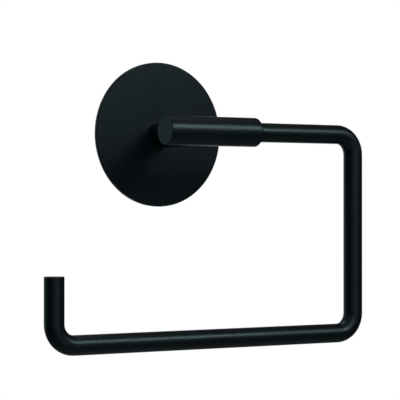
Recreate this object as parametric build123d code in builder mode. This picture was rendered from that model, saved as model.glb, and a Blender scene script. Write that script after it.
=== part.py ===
from build123d import *
import os

# Toilet roll holder: a round stick-on wall plate, a post, a cross sleeve and one bent roll bar.
# The origin is the middle of the face that sticks to the wall.
# +X runs to the right along the sleeve, +Y into the wall and +Z up. Sizes are in millimetres.

# Foam pad that sticks the plate to the wall, and the plate itself
pad_diameter = 57.0
pad_thickness = 1.0
plate_diameter = 61.2
plate_thickness = 2.0
plate_edge_break = 0.3

# Post that stands out of the plate, and the distance from the wall to the axis that it carries
post_diameter = 11.0
post_foot_break = 0.15
bar_reach = 43.5

# Sleeve across the post's front end: closed on the left, bored on the right for the bar
sleeve_diameter = 12.0
sleeve_length = 44.0
sleeve_end_break = 0.25
sleeve_mouth_round = 1.0
bore_clearance = 0.1
bore_depth = 18.0

# Roll bar: one round rod, bent in the plane of the sleeve's axis
bar_diameter = 8.0
bar_span = 144.0
bar_drop = 84.3
bar_tip_drop = 57.5
bend_radius = 8.5
bar_seat_gap = 0.2
bar_end_break = 0.12

# Countersunk screw that clamps plate, post and sleeve together from behind the plate
screw_diameter = 4.0
screw_length = 45.0
screw_clearance = 0.5
screw_tip_break = 0.6
screw_hole_runout = 0.8
head_diameter = 8.0
head_land = 0.2
countersink_angle = 90
screw_key = 2.5
screw_key_depth = 1.6

# Grub screw in the wall side of the sleeve, with its flat tip in a spot drilled in the bar
grub_diameter = 4.0
grub_length = 3.0
grub_recess = 0.15
grub_break = 0.3
grub_key = 2.0
grub_key_depth = 1.6
spot_clearance = 0.2

# Places that follow from the sizes above, as distances from the wall or along the bar
plate_back = pad_thickness
plate_front = plate_back + plate_thickness
sleeve_wall_side = bar_reach - sleeve_diameter / 2
sleeve_mouth = sleeve_length / 2
bar_inner_end = sleeve_mouth - bore_depth + bar_seat_gap
bar_side = bar_span / 2
grub_place = sleeve_mouth - bore_depth / 2
grub_top = sleeve_wall_side + grub_recess
grub_tip = grub_top + grub_length
screw_tip = plate_back + screw_length
cone_height = (head_diameter - screw_diameter) / 2
seat_diameter = head_diameter + 2 * head_land
hole_diameter = screw_diameter + screw_clearance

# Drilling planes that face the wall, one for each screw that goes into the sleeve
screw_entry = Plane(origin=(0, -sleeve_wall_side, 0), x_dir=(1, 0, 0), z_dir=(0, 1, 0))
grub_entry = Plane(origin=(grub_place, -sleeve_wall_side, 0), x_dir=(1, 0, 0), z_dir=(0, 1, 0))

os.makedirs("parts", exist_ok=True)

# Adhesive pad: a disc of double-sided foam, a little smaller than the plate that hides it
with BuildPart() as adhesive_pad:
    with BuildSketch(Plane.XZ):
        Circle(pad_diameter / 2)
    extrude(amount=pad_thickness)

# Wall plate: a flat steel disc, countersunk from behind for the screw head
with BuildPart() as wall_plate:
    with BuildSketch(Plane.XZ.offset(plate_back)):
        Circle(plate_diameter / 2)
    extrude(amount=plate_thickness)
    chamfer(wall_plate.edges().filter_by(GeomType.CIRCLE), plate_edge_break)
    with Locations(wall_plate.faces().sort_by(Axis.Y)[-1]):
        CounterSinkHole(
            radius=hole_diameter / 2,
            counter_sink_radius=seat_diameter / 2,
            counter_sink_angle=countersink_angle,
        )

# Post: a short tube whose front end is coped to a saddle that takes the round of the sleeve
with BuildPart() as post:
    with BuildSketch(Plane.XZ.offset(plate_front)):
        Circle(post_diameter / 2)
        Circle(hole_diameter / 2, mode=Mode.SUBTRACT)
    extrude(amount=bar_reach - plate_front)
    foot_rim = post.faces().sort_by(Axis.Y)[-1].outer_wire().edges()
    chamfer(foot_rim, post_foot_break)
    with BuildSketch(Plane.YZ):
        with Locations((-bar_reach, 0)):
            Circle(sleeve_diameter / 2)
    extrude(amount=post_diameter, both=True, mode=Mode.SUBTRACT)

# Sleeve: a turned bar with a blind bore for the roll bar and two tapped holes in its wall side
with BuildPart() as sleeve:
    with BuildSketch(Plane.YZ.offset(-sleeve_length / 2)):
        with Locations((-bar_reach, 0)):
            Circle(sleeve_diameter / 2)
    extrude(amount=sleeve_length)
    closed_rim = sleeve.faces().sort_by(Axis.X)[0].edges()
    mouth_rim = sleeve.faces().sort_by(Axis.X)[-1].edges()
    chamfer(closed_rim, sleeve_end_break)
    fillet(mouth_rim, sleeve_mouth_round)
    with Locations(sleeve.faces().sort_by(Axis.X)[-1]):
        Hole(radius=(bar_diameter + bore_clearance) / 2, depth=bore_depth)
    with Locations(screw_entry):
        Hole(radius=screw_diameter / 2, depth=screw_tip + screw_hole_runout - sleeve_wall_side)
    with Locations(grub_entry):
        Hole(radius=grub_diameter / 2, depth=sleeve_diameter / 2)

# Roll bar: out of the sleeve, down, back under it and up again to an open end
with BuildPart() as roll_bar:
    with BuildLine(Plane.XZ.offset(bar_reach)) as bar_route:
        FilletPolyline(
            (bar_inner_end, 0),
            (bar_side, 0),
            (bar_side, -bar_drop),
            (-bar_side, -bar_drop),
            (-bar_side, -bar_tip_drop),
            radius=bend_radius,
        )
    with BuildSketch(Plane(origin=bar_route.line @ 0, z_dir=bar_route.line % 0)):
        Circle(bar_diameter / 2)
    sweep()
    inner_rim = roll_bar.faces().filter_by(Axis.X).edges()
    tip_rim = roll_bar.faces().filter_by(Axis.Z).edges()
    chamfer(inner_rim + tip_rim, bar_end_break)
    with BuildSketch(Plane.XZ.offset(grub_tip)):
        with Locations((grub_place, 0)):
            Circle((grub_diameter + spot_clearance) / 2)
    extrude(amount=-grub_length, mode=Mode.SUBTRACT)

# Clamp screw: countersunk head with a hexagon socket, flush with the back of the plate
with BuildPart() as clamp_screw:
    with BuildSketch(Plane.XY):
        with BuildLine():
            Polyline(
                (0, -plate_back),
                (head_diameter / 2, -plate_back),
                (head_diameter / 2, -plate_back - head_land),
                (screw_diameter / 2, -plate_back - head_land - cone_height),
                (screw_diameter / 2, -screw_tip + screw_tip_break),
                (screw_diameter / 2 - screw_tip_break, -screw_tip),
                (0, -screw_tip),
                close=True,
            )
        make_face()
    revolve(axis=Axis.Y)
    with BuildSketch(Plane.XZ.offset(plate_back)):
        RegularPolygon(screw_key / 2, 6, major_radius=False)
    extrude(amount=screw_key_depth, mode=Mode.SUBTRACT)

# Grub screw: headless, with a hexagon socket towards the wall
with BuildPart() as grub_screw:
    with BuildSketch(Plane.XZ.offset(grub_top)):
        with Locations((grub_place, 0)):
            Circle(grub_diameter / 2)
    extrude(amount=grub_length)
    chamfer(grub_screw.edges().filter_by(GeomType.CIRCLE), grub_break)
    with BuildSketch(Plane.XZ.offset(grub_top)):
        with Locations((grub_place, 0)):
            RegularPolygon(grub_key / 2, 6, major_radius=False)
    extrude(amount=grub_key_depth, mode=Mode.SUBTRACT)

# One file for each piece, named after it
adhesive_pad.part.label = "adhesive_pad"
export_step(adhesive_pad.part, "parts/adhesive_pad.step")
wall_plate.part.label = "wall_plate"
export_step(wall_plate.part, "parts/wall_plate.step")
post.part.label = "post"
export_step(post.part, "parts/post.step")
sleeve.part.label = "sleeve"
export_step(sleeve.part, "parts/sleeve.step")
roll_bar.part.label = "roll_bar"
export_step(roll_bar.part, "parts/roll_bar.step")
clamp_screw.part.label = "clamp_screw"
export_step(clamp_screw.part, "parts/clamp_screw.step")
grub_screw.part.label = "grub_screw"
export_step(grub_screw.part, "parts/grub_screw.step")
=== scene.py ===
import math
from functools import partial

import bmesh
import bpy
from mathutils import Matrix, Vector


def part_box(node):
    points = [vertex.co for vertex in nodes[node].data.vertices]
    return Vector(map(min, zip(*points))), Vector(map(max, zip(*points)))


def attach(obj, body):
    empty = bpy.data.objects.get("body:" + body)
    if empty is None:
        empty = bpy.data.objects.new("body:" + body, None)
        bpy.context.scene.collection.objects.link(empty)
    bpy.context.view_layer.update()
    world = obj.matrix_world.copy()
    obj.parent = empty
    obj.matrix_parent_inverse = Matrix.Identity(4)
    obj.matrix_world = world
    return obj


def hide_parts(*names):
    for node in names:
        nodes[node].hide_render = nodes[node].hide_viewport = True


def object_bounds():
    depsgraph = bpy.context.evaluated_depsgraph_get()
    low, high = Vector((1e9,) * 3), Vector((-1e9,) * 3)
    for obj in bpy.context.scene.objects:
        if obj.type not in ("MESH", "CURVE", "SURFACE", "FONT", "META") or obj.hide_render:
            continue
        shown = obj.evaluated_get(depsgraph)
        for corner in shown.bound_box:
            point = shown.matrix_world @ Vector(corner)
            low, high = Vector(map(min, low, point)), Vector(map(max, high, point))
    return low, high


# Toilet roll holder: the finish of its steelwork, its two threaded screws and the foam pad behind it
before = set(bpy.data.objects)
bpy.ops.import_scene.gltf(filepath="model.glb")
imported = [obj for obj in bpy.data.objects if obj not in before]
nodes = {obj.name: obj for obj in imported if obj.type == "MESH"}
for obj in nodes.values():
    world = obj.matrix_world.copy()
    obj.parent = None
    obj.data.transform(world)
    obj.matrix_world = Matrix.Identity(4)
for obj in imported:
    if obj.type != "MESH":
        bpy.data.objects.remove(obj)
cad_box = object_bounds()

MILLIMETRE = 0.001
WHITE = (1, 1, 1)

# The camera stands to the left of the holder, almost level with it, and looks in towards the wall
CAMERA_PLACE = Vector((-0.39863, -0.65978, -0.02985))
CAMERA_YAW = math.radians(32.537)
CAMERA_PITCH = math.radians(0.154)
CAMERA_LENS = 162.668
SENSOR_WIDTH = 36.0

# Grain that the metal finishes share: fine grain on a slower wave, and slow patches of tone
GRAIN_DETAIL = 2.0
GRAIN_ROUGHNESS = 0.55
GRAIN_SHARE = 0.5
WAVE_PER_GRAIN = 0.22
WAVE_DETAIL = 0.0
PATCH_DETAIL = 3.0
PATCH_ROUGHNESS = 0.6
PATCH_SPREAD = (0.3, 0.7)

# A finish is worn where a rounded edge would lean away from the surface: cosine of the lean
EDGE_LEAN = (0.98, 0.8)
EDGE_SAMPLES = 4

# Black coating: a satin black with a faint cool cast, a little paler where it is thin on an edge.
# Grains and patches are counted per metre in all finishes.
COAT_DEEP = (0.0015, 0.0026, 0.0040)
COAT_COLOUR = (0.0019, 0.0031, 0.0046)
COAT_THIN = (0.0026, 0.0040, 0.0054)
COAT_GLOSS_TINT = (0.63, 0.97, 1.0)
COAT_GLOSS_LEVEL = 0.156
COAT_ROUGHNESS = (0.35, 0.38)
COAT_GRAIN = 3200
COAT_PATCH = 70
COAT_BUMP = 0.02 * MILLIMETRE
COAT_EDGE = 0.25 * MILLIMETRE

# Zinc plate on the clamp screw
ZINC_DULL = (0.47, 0.48, 0.49)
ZINC_BRIGHT = (0.63, 0.64, 0.65)
ZINC_METALLIC = 1.0
ZINC_ROUGHNESS = (0.24, 0.38)
ZINC_GRAIN = 5200
ZINC_PATCH = 400
ZINC_BUMP = 0.003 * MILLIMETRE
ZINC_EDGE = 0.1 * MILLIMETRE

# Black oxide on the grub screw: one even tone, worn along the edges
OXIDE_DEEP = (0.014, 0.014, 0.015)
OXIDE_WORN = (0.045, 0.044, 0.043)
OXIDE_METALLIC = 0.4
OXIDE_ROUGHNESS = (0.3, 0.48)
OXIDE_GRAIN = 6500
OXIDE_PATCH = 600
OXIDE_BUMP = 0.003 * MILLIMETRE
OXIDE_EDGE = 0.08 * MILLIMETRE

# Foam tape: grey closed cells whose hollows are painted darker as shade, with a smoother and clouded
# tacky film on both faces
FOAM_CELL_SHADE = (0.15, 0.15, 0.157)
FOAM_WALL = (0.26, 0.26, 0.272)
FOAM_CELLS = 4200
FOAM_CELL_RANDOMNESS = 0.9
FOAM_CELL_SLOPE = (0.1, 0.75)
FOAM_BUMP = 0.06 * MILLIMETRE
FOAM_ROUGHNESS = 0.85
FILM_DEEP = (0.165, 0.165, 0.174)
FILM_PALE = (0.275, 0.275, 0.287)
FILM_THICKNESS = 0.05 * MILLIMETRE
FILM_COVER = 0.7
FILM_RELIEF = 0.15
FILM_ROUGHNESS = 0.38
CLOUD_PATCH = 170
CLOUD_DETAIL = 4.0
CLOUD_ROUGHNESS = 0.6
CLOUD_SPREAD = (0.7, 0.3)

# The release liner left a fine lattice of lines in the tacky film
LINER_SLANTS = ((1, 0, 1), (1, 0, -1))
LINER_PITCH = 2.4 * MILLIMETRE
LINER_LINE = 0.4 * MILLIMETRE
LINER_DEPTH = 0.3
LINER_SHADE = 0.45

# Screw threads and sockets in millimetres: M4 coarse in both screws
THREAD_PITCH = 0.7
THREAD_DEPTH = 0.43
THREAD_RINGS = 6
CREST_FLAT = 1 / 8
ROOT_FLAT = 1 / 4
SCREW_STEPS = 48
TIP_CHAMFER = 0.5
HEAD_TO_THREAD = 2
HEAD_LAND = 0.2
CLAMP_HEX = 2.5
CLAMP_HEX_DEPTH = 1.6
GRUB_HEX = 2.0
GRUB_HEX_DEPTH = 1.5
HEX_SIDE = math.tau / 6
SOCKET_LEAD = 0.12
DRILL_POINT = 0.4
DRILL_FLAT = 1 / 8

# Foam pad's rim in millimetres: how far it pulls in at its two faces and how that eases off up to
# the middle of its thickness, and the waves of its uneven cut as count, depth and shift
PAD_STEPS = 144
PAD_FACE_PULL = 0.3
PAD_SWELL = ((0.0, 1.0), (0.06, 0.72), (0.2, 0.3), (0.36, 0.08), (0.5, 0.0))
PAD_CUT_WAVES = ((7, 0.05, 0.4), (17, 0.03, 1.9), (31, 0.02, 0.7))

# Points nearer than this are one point, and edges sharper than this keep a crease
MERGE_DISTANCE = 1e-8
CREASE_ANGLE = math.radians(20)

# The room: a pale floor well below the holder, which fades out far away, and a white backdrop that
# the gloss sees on the left and in a narrow sweep on the right, both behind the wall
FLOOR_DROP = 0.65
FLOOR_RADIUS = 1.5
FLOOR_STEPS = 96
FLOOR_FORWARD = 0.6
FLOOR_FADE = (0.9, 1.4)
FLOOR_COLOUR = (0.36, 0.36, 0.36)
FLOOR_GLOW = 0.8
FLOOR_IN_GLOSS = 0.04
ROOM_LIGHT = 0.02
BACKDROP_LIGHT = 1.0
BACKDROP_SIDE = (-149.0, 5.0)
BACKDROP_REACH = (0.78, 0.97)
BACKDROP_IN_GLOSS = (0.0, 0.6)
SWEEP_SIDE = (149.0, -17.0)
SWEEP_REACH = (0.955, 0.99)
SWEEP_IN_GLOSS = (0.0, 0.6)
BACKDROP_TINT = (0.66, 0.92, 1.0)

# Soft lamps: azimuth and elevation seen from the holder, width and height as angles, and radiance
LAMP_CENTRE = Vector((0.0, -0.03, -0.03))
LAMP_DISTANCE = 0.9
SOFT_LAMPS = {
    "key": (32.5, 30.7, 13.0, 13.0, 24.5),
    "strip": (14.0, 27.0, 80.0, 16.0, 4.2),
    "front": (6.0, -5.0, 24.0, 40.0, 1.15),
    "front_left": (-22.0, -3.0, 38.0, 40.0, 0.5),
    "top": (91.5, 77.0, 36.0, 36.0, 0.77),
    "left": (-80.0, 40.0, 60.0, 60.0, 0.6),
    "high_back": (180.0, 70.0, 36.0, 36.0, 2.5),
    "back": (160.0, 0.0, 50.0, 50.0, 0.6),
    "back_fill": (180.0, 20.0, 60.0, 60.0, 2.0),
}
LAMPS_WITHOUT_GLINT = ("back_fill",)

# Places of the two colours and of their result among the sockets of a mix
MIX_FIRST = 6
MIX_SECOND = 7
MIX_RESULT = 2
UNIT = (0.0, 1.0)


def add_node(tree, kind, sockets=None, **settings):
    """A shader node with its settings, each socket given a value or linked to another node's output."""
    made = tree.nodes.new("ShaderNode" + kind)
    for name, value in settings.items():
        setattr(made, name, value)
    for name, value in (sockets or {}).items():
        if isinstance(value, bpy.types.NodeSocket):
            tree.links.new(value, made.inputs[name])
        else:
            made.inputs[name].default_value = value
    return made


def maths(tree, operation, *values):
    """What an operation makes of one to three values."""
    return add_node(tree, "Math", dict(enumerate(values)), operation=operation).outputs["Value"]


def ramp(tree, value, span=UNIT, results=UNIT, kind="LINEAR"):
    """Runs over the results while a value runs over its span, and stops at both ends."""
    made = add_node(tree, "MapRange", {"Value": value}, interpolation_type=kind)
    for end, place, result in zip(("Min", "Max"), span, results):
        made.inputs["From " + end].default_value = place
        made.inputs["To " + end].default_value = result
    return made.outputs["Result"]


def colour(values):
    return (*values, 1)


def mixed(tree, factor, first, second):
    """A colour between two others."""
    sockets = {"Factor": factor, MIX_FIRST: first, MIX_SECOND: second}
    return add_node(tree, "Mix", sockets, data_type="RGBA").outputs[MIX_RESULT]


def empty_tree(owner):
    """The emptied node tree of a material or of the room."""
    owner.use_nodes = True
    owner.node_tree.nodes.clear()
    return owner.node_tree


def new_group(name, inputs, outputs):
    """A shader group with its named sockets, and the two nodes that carry them inside it."""
    group = bpy.data.node_groups.new(name, "ShaderNodeTree")
    for socket, kind in inputs.items():
        group.interface.new_socket(socket, in_out="INPUT", socket_type="NodeSocket" + kind)
    for socket in outputs:
        group.interface.new_socket(socket, in_out="OUTPUT", socket_type="NodeSocketFloat")
    into = group.nodes.new("NodeGroupInput")
    out = group.nodes.new("NodeGroupOutput")
    return group, into, out


def grain_group():
    """Fine grain that every metal finish shares: a height for its bump and slow patches of tone."""
    inputs = {"Place": "Vector", "Grains per metre": "Float", "Patches per metre": "Float"}
    group, into, out = new_group("fine_grain", inputs, ("Height", "Patch"))
    place = into.outputs["Place"]
    grains = into.outputs["Grains per metre"]
    grain = add_node(group, "TexNoise", {
        "Vector": place,
        "Scale": grains,
        "Detail": GRAIN_DETAIL,
        "Roughness": GRAIN_ROUGHNESS,
    })
    wave = add_node(group, "TexNoise", {
        "Vector": place,
        "Scale": maths(group, "MULTIPLY", grains, WAVE_PER_GRAIN),
        "Detail": WAVE_DETAIL,
    })
    patch = add_node(group, "TexNoise", {
        "Vector": place,
        "Scale": into.outputs["Patches per metre"],
        "Detail": PATCH_DETAIL,
        "Roughness": PATCH_ROUGHNESS,
    })
    height = maths(group, "MULTIPLY_ADD", grain.outputs["Fac"], GRAIN_SHARE, wave.outputs["Fac"])
    group.links.new(height, out.inputs["Height"])
    group.links.new(ramp(group, patch.outputs["Fac"], PATCH_SPREAD), out.inputs["Patch"])
    return group


def edge_group():
    """Where a finish is thin or rubbed: a mask that rises along sharp edges."""
    group, into, out = new_group("thin_edges", {"Reach": "Float"}, ("Edge",))
    rounded = add_node(group, "Bevel", {"Radius": into.outputs["Reach"]}, samples=EDGE_SAMPLES)
    surface = add_node(group, "NewGeometry")
    normals = {0: rounded.outputs["Normal"], 1: surface.outputs["Normal"]}
    lean = add_node(group, "VectorMath", normals, operation="DOT_PRODUCT")
    mask = ramp(group, lean.outputs["Value"], EDGE_LEAN, kind="SMOOTHSTEP")
    group.links.new(mask, out.inputs["Edge"])
    return group


GRAIN = grain_group()
EDGES = edge_group()


def new_material(name):
    """A material with its shader, and the place on the piece that its patterns read."""
    material = bpy.data.materials.new(name)
    tree = empty_tree(material)
    shader = add_node(tree, "BsdfPrincipled")
    add_node(tree, "OutputMaterial", {"Surface": shader.outputs["BSDF"]})
    place = add_node(tree, "TexCoord").outputs["Object"]
    return material, tree, shader, place


def lay_finish(tree, shader, tone, roughness, height, bump):
    """Gives a shader the tone, the roughness and the relief that change over the surface."""
    relief = add_node(tree, "Bump", {"Distance": bump, "Height": height})
    tree.links.new(tone, shader.inputs["Base Color"])
    tree.links.new(roughness, shader.inputs["Roughness"])
    tree.links.new(relief.outputs["Normal"], shader.inputs["Normal"])


def metal_finish(name, deep, pale, worn, roughness, grains, patches, bump, edge_reach):
    """A grained finish whose tone drifts from deep to pale and turns worn along its edges."""
    material, tree, shader, place = new_material(name)
    scales = {"Place": place, "Grains per metre": grains, "Patches per metre": patches}
    grain = add_node(tree, "Group", scales, node_tree=GRAIN)
    edges = add_node(tree, "Group", {"Reach": edge_reach}, node_tree=EDGES)
    drift = mixed(tree, grain.outputs["Patch"], colour(deep), colour(pale))
    tone = mixed(tree, edges.outputs["Edge"], drift, colour(worn))
    gloss = ramp(tree, grain.outputs["Patch"], results=roughness)
    lay_finish(tree, shader, tone, gloss, grain.outputs["Height"], bump)
    return material, shader


def black_coating():
    tones = (COAT_DEEP, COAT_COLOUR, COAT_THIN)
    scales = (COAT_GRAIN, COAT_PATCH, COAT_BUMP, COAT_EDGE)
    material, shader = metal_finish("black_coating", *tones, COAT_ROUGHNESS, *scales)
    shader.inputs["Specular IOR Level"].default_value = COAT_GLOSS_LEVEL
    shader.inputs["Specular Tint"].default_value = colour(COAT_GLOSS_TINT)
    return material


def plated_steel():
    tones = (ZINC_DULL, ZINC_BRIGHT, ZINC_BRIGHT)
    scales = (ZINC_GRAIN, ZINC_PATCH, ZINC_BUMP, ZINC_EDGE)
    material, shader = metal_finish("plated_steel", *tones, ZINC_ROUGHNESS, *scales)
    shader.inputs["Metallic"].default_value = ZINC_METALLIC
    return material


def black_oxide():
    tones = (OXIDE_DEEP, OXIDE_DEEP, OXIDE_WORN)
    scales = (OXIDE_GRAIN, OXIDE_PATCH, OXIDE_BUMP, OXIDE_EDGE)
    material, shader = metal_finish("black_oxide", *tones, OXIDE_ROUGHNESS, *scales)
    shader.inputs["Metallic"].default_value = OXIDE_METALLIC
    return material


def film_mask(tree, place, back, front):
    """1 on the two faces of the pad, where the film is, and 0 on the cut between them."""
    middle = (back + front) / 2
    half = (front - back) / 2
    depth = add_node(tree, "SeparateXYZ", {"Vector": place}).outputs["Y"]
    off_middle = maths(tree, "ABSOLUTE", maths(tree, "SUBTRACT", depth, middle))
    return ramp(tree, off_middle, (half - 2 * FILM_THICKNESS, half - FILM_THICKNESS))


def liner_lattice(tree, place):
    """1 along the lines that the release liner pressed into the film."""
    lines = []
    for slant in LINER_SLANTS:
        run = add_node(tree, "VectorMath", {0: place, 1: slant}, operation="DOT_PRODUCT")
        fold = maths(tree, "PINGPONG", run.outputs["Value"], LINER_PITCH)
        lines.append(ramp(tree, fold, (LINER_LINE, 0.0)))
    return maths(tree, "MAXIMUM", *lines)


def foam_tape(pad_low, pad_high):
    """Open-cut foam round the rim, its cell hollows painted darker as shade, and the smoother tacky
    film over the two faces.
    """
    material, tree, shader, place = new_material("foam_tape")
    cells = add_node(tree, "TexVoronoi", {
        "Vector": place,
        "Scale": FOAM_CELLS,
        "Randomness": FOAM_CELL_RANDOMNESS,
    })
    clouds = add_node(tree, "TexNoise", {
        "Vector": place,
        "Scale": CLOUD_PATCH,
        "Detail": CLOUD_DETAIL,
        "Roughness": CLOUD_ROUGHNESS,
    })
    slope = ramp(tree, cells.outputs["Distance"], FOAM_CELL_SLOPE, kind="SMOOTHSTEP")
    cloud = ramp(tree, clouds.outputs["Fac"], CLOUD_SPREAD)
    film = film_mask(tree, place, pad_low.y, pad_high.y)
    lattice = liner_lattice(tree, place)
    shade = maths(tree, "MULTIPLY_ADD", lattice, LINER_SHADE, cloud)
    # The foam's tone is darker in the middle of each cell, where the hollow is: painted shade.
    foam_tone_with_cell_shade = mixed(tree, slope, colour(FOAM_CELL_SHADE), colour(FOAM_WALL))
    film_tone = mixed(tree, shade, colour(FILM_PALE), colour(FILM_DEEP))
    covered = mixed(tree, FILM_COVER, foam_tone_with_cell_shade, film_tone)
    tone = mixed(tree, film, foam_tone_with_cell_shade, covered)
    gloss = ramp(tree, film, results=(FOAM_ROUGHNESS, FILM_ROUGHNESS))
    evened = maths(tree, "MULTIPLY", slope, ramp(tree, film, results=(1.0, FILM_RELIEF)))
    height = maths(tree, "MULTIPLY_ADD", lattice, -LINER_DEPTH, evened)
    lay_finish(tree, shader, tone, gloss, height, FOAM_BUMP)
    return material


def set_ring(verts, height, radius_at):
    """Puts each vertex of a ring at its own radius and the ring's height, keeping its angle."""
    for vert in verts:
        angle = math.atan2(vert.co.y, vert.co.x)
        radius = radius_at(angle)
        vert.co = (radius * math.cos(angle), radius * math.sin(angle), height)


def turn_piece(rings, steps):
    """A closed turned shape, carried from ring to ring along its axis, in millimetres.

    A ring is a height and the radius for each angle. The first and the last ring are closed flat.
    """
    shape = bmesh.new()
    bmesh.ops.create_circle(shape, cap_ends=True, radius=1, segments=steps)
    set_ring(shape.verts, *rings[0])
    loop = shape.edges[:]
    for height, radius_at in rings[1:]:
        carried = bmesh.ops.extrude_edge_only(shape, edges=loop)["geom"]
        fresh = {part for part in carried if isinstance(part, bmesh.types.BMVert)}
        edges = [part for part in carried if isinstance(part, bmesh.types.BMEdge)]
        loop = [edge for edge in edges if fresh.issuperset(edge.verts)]
        set_ring(fresh, height, radius_at)
    bmesh.ops.contextual_create(shape, geom=loop)
    return shape


def round_ring(radius):
    return lambda angle: radius


def hexagon_ring(across_flats):
    """A hexagon socket: the radius grows from the middle of each flat to its corners."""
    def radius_at(angle):
        off_flat = (angle + HEX_SIDE / 2) % HEX_SIDE - HEX_SIDE / 2
        return across_flats / 2 / math.cos(off_flat)
    return radius_at


def thread_radius(height, outer, bottom, top, angle):
    """Radius of a screw thread, cut off by the chamfers at its two ends."""
    turn = (height / THREAD_PITCH - angle / math.tau) % 1
    from_crest = abs(turn - 0.5) * 2
    cut = (from_crest - CREST_FLAT) / (1 - CREST_FLAT - ROOT_FLAT)
    radius = outer - THREAD_DEPTH * min(max(cut, 0), 1)
    lead_in = outer - TIP_CHAMFER + (height - bottom)
    lead_out = outer - TIP_CHAMFER + (top - height)
    return min(radius, lead_in, lead_out)


def thread_rings(outer, bottom, top):
    """Rings close enough along a thread to show its crests and roots."""
    rise = THREAD_PITCH / THREAD_RINGS
    count = math.ceil((top - bottom) / rise)
    heights = [bottom + (top - bottom) * step / count for step in range(count + 1)]
    return [(height, partial(thread_radius, height, outer, bottom, top)) for height in heights]


def socket_rings(across_flats, depth, top):
    """The hexagon socket in the end of a screw, with a turned lead at its mouth and a drilled foot."""
    mouth = across_flats / 2 / math.cos(HEX_SIDE / 2) + SOCKET_LEAD
    return [
        (top, round_ring(mouth)),
        (top - SOCKET_LEAD, hexagon_ring(across_flats)),
        (top - depth, hexagon_ring(across_flats)),
        (top - depth - DRILL_POINT, round_ring(across_flats * DRILL_FLAT)),
    ]


def finish_piece(name, shape, node, material):
    """Makes a turned shape a piece of the holder, in the place of its node and on its body."""
    bmesh.ops.remove_doubles(shape, verts=shape.verts, dist=MERGE_DISTANCE)
    bmesh.ops.recalc_face_normals(shape, faces=shape.faces)
    mesh = bpy.data.meshes.new(name)
    shape.to_mesh(mesh)
    shape.free()
    mesh.shade_smooth()
    mesh.set_sharp_from_angle(angle=CREASE_ANGLE)
    mesh.materials.append(material)
    piece = bpy.data.objects.new(name, mesh)
    bpy.context.scene.collection.objects.link(piece)
    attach(piece, "root")
    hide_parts(node)
    return piece


def lay_along_wall_axis(shape, node):
    """Turns a shape that stands on its axis towards the wall and puts it where its node is."""
    low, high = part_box(node)
    foot = Vector(((low.x + high.x) / 2, low.y, (low.z + high.z) / 2))
    to_wall = Matrix.Rotation(-math.pi / 2, 4, "X")
    place = Matrix.Translation(foot) @ to_wall @ Matrix.Scale(MILLIMETRE, 4)
    bmesh.ops.transform(shape, matrix=place, verts=shape.verts)


def length_and_width(node):
    """Length along the wall's axis and width across it, in millimetres."""
    low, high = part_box(node)
    return (high.y - low.y) / MILLIMETRE, (high.x - low.x) / MILLIMETRE


def clamp_screw():
    """Countersunk socket screw from the plate's back through the post into the sleeve."""
    length, head = length_and_width("clamp_screw")
    outer = head / 2 / HEAD_TO_THREAD
    cone_top = length - HEAD_LAND
    cone_foot = cone_top - (head / 2 - outer)
    rings = thread_rings(outer, 0, cone_foot)
    rings += [
        (cone_foot, round_ring(outer)),
        (cone_top, round_ring(head / 2)),
        (length, round_ring(head / 2)),
    ]
    rings += socket_rings(CLAMP_HEX, CLAMP_HEX_DEPTH, length)
    shape = turn_piece(rings, SCREW_STEPS)
    lay_along_wall_axis(shape, "clamp_screw")
    finish_piece("countersunk_screw", shape, "clamp_screw", plated_steel())


def grub_screw():
    """Headless socket screw in the sleeve's wall side, which grips the bar."""
    length, width = length_and_width("grub_screw")
    rings = thread_rings(width / 2, 0, length)
    rings += socket_rings(GRUB_HEX, GRUB_HEX_DEPTH, length)
    shape = turn_piece(rings, SCREW_STEPS)
    lay_along_wall_axis(shape, "grub_screw")
    finish_piece("set_screw", shape, "grub_screw", black_oxide())


def pad_rim(radius, angle):
    """Radius of the die-cut pad: a cut edge is never quite even."""
    dips = [depth * (1 + math.sin(count * angle + shift)) / 2 for count, depth, shift in PAD_CUT_WAVES]
    return radius - sum(dips)


def foam_pad():
    """Foam disc between plate and wall: pressed flat on both faces, its rim swells between them."""
    thickness, width = length_and_width("adhesive_pad")
    mirrored = [(1 - height, pull) for height, pull in reversed(PAD_SWELL[:-1])]
    rings = []
    for height, pull in (*PAD_SWELL, *mirrored):
        radius = width / 2 - pull * PAD_FACE_PULL
        rings.append((height * thickness, partial(pad_rim, radius)))
    shape = turn_piece(rings, PAD_STEPS)
    lay_along_wall_axis(shape, "adhesive_pad")
    material = foam_tape(*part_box("adhesive_pad"))
    piece = finish_piece("foam_pad", shape, "adhesive_pad", material)


def coat_steelwork():
    """Plate, post, sleeve and bar keep their own shapes and share the black coating."""
    coating = black_coating()
    for name in ("wall_plate", "post", "sleeve", "roll_bar"):
        nodes[name].data.materials.clear()
        nodes[name].data.materials.append(coating)


def direction(azimuth, elevation):
    """From the holder outwards: azimuth 0 faces the wall's front, positive to the right."""
    turn = math.radians(azimuth)
    rise = math.radians(elevation)
    level = math.cos(rise)
    return Vector((level * math.sin(turn), -level * math.cos(turn), math.sin(rise)))


def span_at_lamp(angle):
    """Size of something that fills an angle seen from the holder, at the lamps' distance."""
    return 2 * LAMP_DISTANCE * math.tan(math.radians(angle / 2))


def soft_lamp(name, azimuth, elevation, width, height, radiance):
    """A softbox that faces the holder."""
    data = bpy.data.lights.new(name, "AREA")
    data.shape = "RECTANGLE"
    data.size = span_at_lamp(width)
    data.size_y = span_at_lamp(height)
    face = data.size * data.size_y
    data.energy = radiance * math.pi * face
    lamp = bpy.data.objects.new(name, data)
    bpy.context.scene.collection.objects.link(lamp)
    towards = direction(azimuth, elevation)
    lamp.location = LAMP_CENTRE + towards * LAMP_DISTANCE
    lamp.rotation_mode = "QUATERNION"
    lamp.rotation_quaternion = (-towards).to_track_quat("-Z", "Y")
    lamp.visible_camera = False
    lamp.visible_glossy = name not in LAMPS_WITHOUT_GLINT


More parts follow.
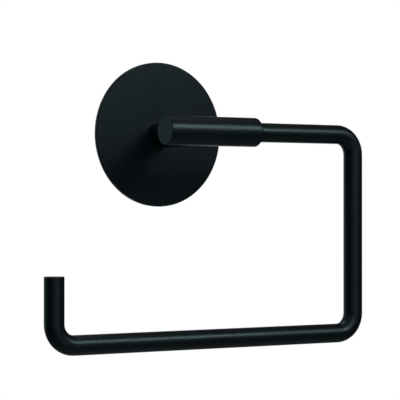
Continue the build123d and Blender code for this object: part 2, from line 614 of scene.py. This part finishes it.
def seen_rays(tree, path, gloss_share):
    """1 for what the camera sees, and a share of it for what gloss and glass show."""
    gloss = path.outputs["Is Glossy Ray"]
    glass = path.outputs["Is Transmission Ray"]
    share = maths(tree, "MULTIPLY", maths(tree, "MAXIMUM", gloss, glass), gloss_share)
    return maths(tree, "MAXIMUM", path.outputs["Is Camera Ray"], share)


def floor_finish():
    """Pale and matt, fading out far away, and clear from below so that it never hides the holder."""
    material = bpy.data.materials.new("pale_floor")
    tree = empty_tree(material)
    matt = add_node(tree, "BsdfDiffuse", {"Color": colour(FLOOR_COLOUR)})
    seen = seen_rays(tree, add_node(tree, "LightPath"), FLOOR_IN_GLOSS)
    glow = add_node(tree, "Emission", {"Strength": maths(tree, "MULTIPLY", seen, FLOOR_GLOW)})
    lit = add_node(tree, "AddShader", {0: matt.outputs["BSDF"], 1: glow.outputs["Emission"]})
    place = add_node(tree, "TexCoord").outputs["Object"]
    to_middle = {0: place, 1: (1, 1, 0), 2: (0, FLOOR_FORWARD, 0)}
    flat = add_node(tree, "VectorMath", to_middle, operation="MULTIPLY_ADD")
    away = add_node(tree, "VectorMath", {0: flat.outputs["Vector"]}, operation="LENGTH")
    fade = ramp(tree, away.outputs["Value"], FLOOR_FADE, kind="SMOOTHSTEP")
    underside = add_node(tree, "NewGeometry").outputs["Backfacing"]
    clear = add_node(tree, "BsdfTransparent")
    surface = add_node(tree, "MixShader", {
        "Fac": maths(tree, "MAXIMUM", fade, underside),
        1: lit.outputs["Shader"],
        2: clear.outputs["BSDF"],
    })
    add_node(tree, "OutputMaterial", {"Surface": surface.outputs["Shader"]})
    return material


def pale_floor():
    shape = bmesh.new()
    bmesh.ops.create_circle(shape, cap_ends=True, radius=FLOOR_RADIUS, segments=FLOOR_STEPS)
    middle = (0, -FLOOR_FORWARD, cad_box[0].z - FLOOR_DROP)
    bmesh.ops.translate(shape, verts=shape.verts, vec=middle)
    mesh = bpy.data.meshes.new("floor")
    shape.to_mesh(mesh)
    shape.free()
    mesh.materials.append(floor_finish())
    ground = bpy.data.objects.new("floor", mesh)
    bpy.context.scene.collection.objects.link(ground)


def backdrop_part(tree, side, reach, level):
    """How bright one side of the backdrop is in the gloss: full in its middle, gone past its reach."""
    heading = add_node(tree, "TexCoord").outputs["Generated"]
    towards = add_node(tree, "VectorMath", {0: heading, 1: direction(*side)}, operation="DOT_PRODUCT")
    return ramp(tree, towards.outputs["Value"], reach, level, "SMOOTHSTEP")


def white_backdrop():
    """White behind everything that the camera sees, and on two sides for the gloss."""
    world = bpy.data.worlds.new("backdrop")
    bpy.context.scene.world = world
    tree = empty_tree(world)
    left = backdrop_part(tree, BACKDROP_SIDE, BACKDROP_REACH, BACKDROP_IN_GLOSS)
    right = backdrop_part(tree, SWEEP_SIDE, SWEEP_REACH, SWEEP_IN_GLOSS)
    path = add_node(tree, "LightPath")
    seen = seen_rays(tree, path, maths(tree, "ADD", left, right))
    tint = mixed(tree, path.outputs["Is Camera Ray"], colour(BACKDROP_TINT), colour(WHITE))
    room = add_node(tree, "Background", {"Color": colour(WHITE), "Strength": ROOM_LIGHT})
    white = add_node(tree, "Background", {"Color": tint, "Strength": BACKDROP_LIGHT})
    surface = add_node(tree, "MixShader", {
        "Fac": seen,
        1: room.outputs["Background"],
        2: white.outputs["Background"],
    })
    add_node(tree, "OutputWorld", {"Surface": surface.outputs["Shader"]})


def camera():
    data = bpy.data.cameras.new("camera")
    data.lens = CAMERA_LENS
    data.sensor_width = SENSOR_WIDTH
    viewer = bpy.data.objects.new("camera", data)
    bpy.context.scene.collection.objects.link(viewer)
    viewer.location = CAMERA_PLACE
    viewer.rotation_euler = (math.pi / 2 + CAMERA_PITCH, 0, -CAMERA_YAW)
    bpy.context.scene.camera = viewer


coat_steelwork()
foam_pad()
clamp_screw()
grub_screw()
for lamp_name, lamp_setting in SOFT_LAMPS.items():
    soft_lamp(lamp_name, *lamp_setting)
pale_floor()
white_backdrop()
camera()
bpy.context.scene.view_settings.view_transform = "Standard"
